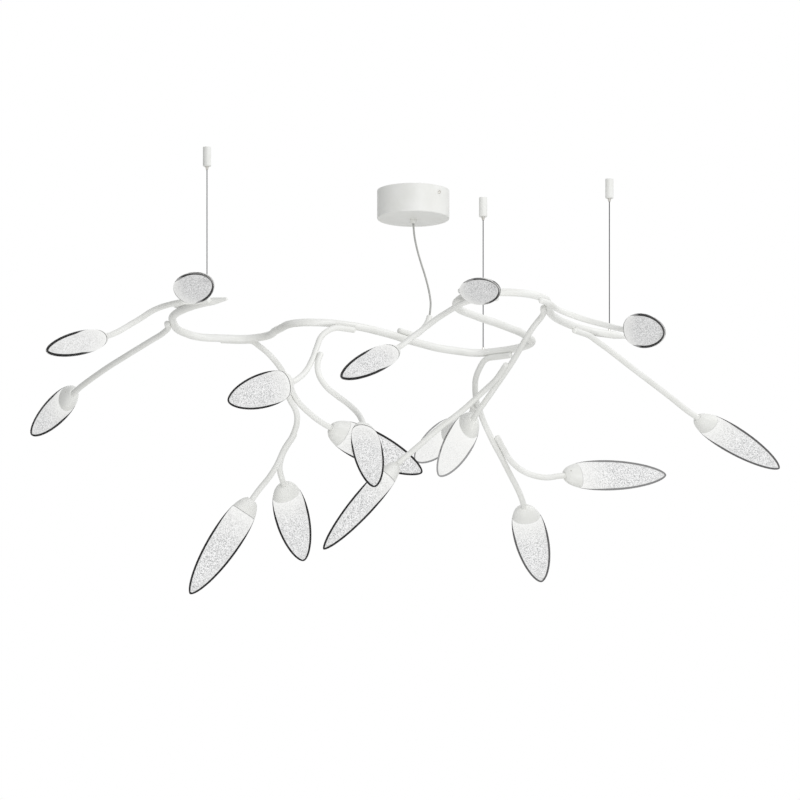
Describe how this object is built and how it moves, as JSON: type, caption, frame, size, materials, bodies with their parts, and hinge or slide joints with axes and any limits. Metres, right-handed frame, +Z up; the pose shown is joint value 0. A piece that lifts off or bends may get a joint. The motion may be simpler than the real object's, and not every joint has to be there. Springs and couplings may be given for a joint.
{
  "type": "branch ceiling light",
  "caption": "Branch-shaped ceiling light: a serpentine trunk tube hung on steel wires, with stem tubes that end in almond-shaped seeded-glass leaf heads, a round canopy and a power cord.",
  "frame": {"origin": "middle of the canopy's ceiling face, in the ceiling plane", "axes": "+Z up to the ceiling, +X to the right seen from the front, +Y away from the front"},
  "size_m": [1.5558, 1.2726, 0.8371],
  "materials": {
    "powder_coat": "satin white powder coat",
    "seeded_glass": "clear cast glass full of fine seeds",
    "zinc_steel": "zinc plated",
    "nickel": "satin nickel plated",
    "steel_wire": "stranded steel wire",
    "cord_sheath": "smooth grey sheath",
    "white_plastic": "matt moulded",
    "led_diffuser": "opal diffuser on a white body",
    "seal_rubber": "matt silicone"
  },
  "bodies": {
    "ceiling_fixings": {"canopy_cover": "powder_coat", "canopy_bracket": "zinc_steel", "canopy_screws": "nickel", "led_driver": "white_plastic", "terminal_block": "white_plastic", "cord_grip": "white_plastic", "cord_grip_nut": "white_plastic", "power_cord": "cord_sheath", "gripper_barrels": "powder_coat", "suspension_wire_left": "steel_wire", "suspension_wire_middle": "steel_wire", "suspension_wire_right": "steel_wire"},
    "hanging_frame": {"trunk_left": "powder_coat", "trunk_middle": "powder_coat", "trunk_right": "powder_coat", "trunk_tips": "powder_coat", "feed_tube": "powder_coat", "leaf_caps": "powder_coat", "stem_01": "powder_coat", "stem_02": "powder_coat", "stem_03": "powder_coat", "stem_04": "powder_coat", "stem_05": "powder_coat", "stem_06": "powder_coat", "stem_07": "powder_coat", "stem_08": "powder_coat", "stem_09": "powder_coat", "stem_10": "powder_coat", "stem_11": "powder_coat", "stem_12": "powder_coat", "stem_13": "powder_coat", "stem_14": "powder_coat", "stem_15": "powder_coat", "stem_16": "powder_coat", "stem_17": "powder_coat", "leaf_glass_01": "seeded_glass", "leaf_glass_02": "seeded_glass", "leaf_glass_03": "seeded_glass", "leaf_glass_04": "seeded_glass", "leaf_glass_05": "seeded_glass", "leaf_glass_06": "seeded_glass", "leaf_glass_07": "seeded_glass", "leaf_glass_08": "seeded_glass", "leaf_glass_09": "seeded_glass", "leaf_glass_10": "seeded_glass", "leaf_glass_11": "seeded_glass", "leaf_glass_12": "seeded_glass", "leaf_glass_13": "seeded_glass", "leaf_glass_14": "seeded_glass", "leaf_glass_15": "seeded_glass", "leaf_glass_16": "seeded_glass", "leaf_glass_17": "seeded_glass", "trunk_couplers": "zinc_steel", "leaf_screws": "nickel", "wire_ferrules": "nickel", "led_modules": "led_diffuser", "leaf_seals": "seal_rubber"},
    "release_left": {"release_nose_left": "nickel"},
    "release_middle": {"release_nose_middle": "nickel"},
    "release_right": {"release_nose_right": "nickel"}
  },
  "joints": [
    {"name": "hang_height", "type": "slide", "parent": "ceiling_fixings", "child": "hanging_frame", "axis": [0, 0, 1], "range_m": [0, 0.1], "deforming": ["suspension_wire_left", "suspension_wire_middle", "suspension_wire_right", "power_cord"]},
    {"name": "release_left_press", "type": "slide", "parent": "ceiling_fixings", "child": "release_left", "axis": [0, 0, 1], "range_m": [0, 0.003], "stiffness_N_per_m": 600, "springref_m": -0.003},
    {"name": "release_middle_press", "type": "slide", "parent": "ceiling_fixings", "child": "release_middle", "axis": [0, 0, 1], "range_m": [0, 0.003], "stiffness_N_per_m": 600, "springref_m": -0.003},
    {"name": "release_right_press", "type": "slide", "parent": "ceiling_fixings", "child": "release_right", "axis": [0, 0, 1], "range_m": [0, 0.003], "stiffness_N_per_m": 600, "springref_m": -0.003}
  ]
}
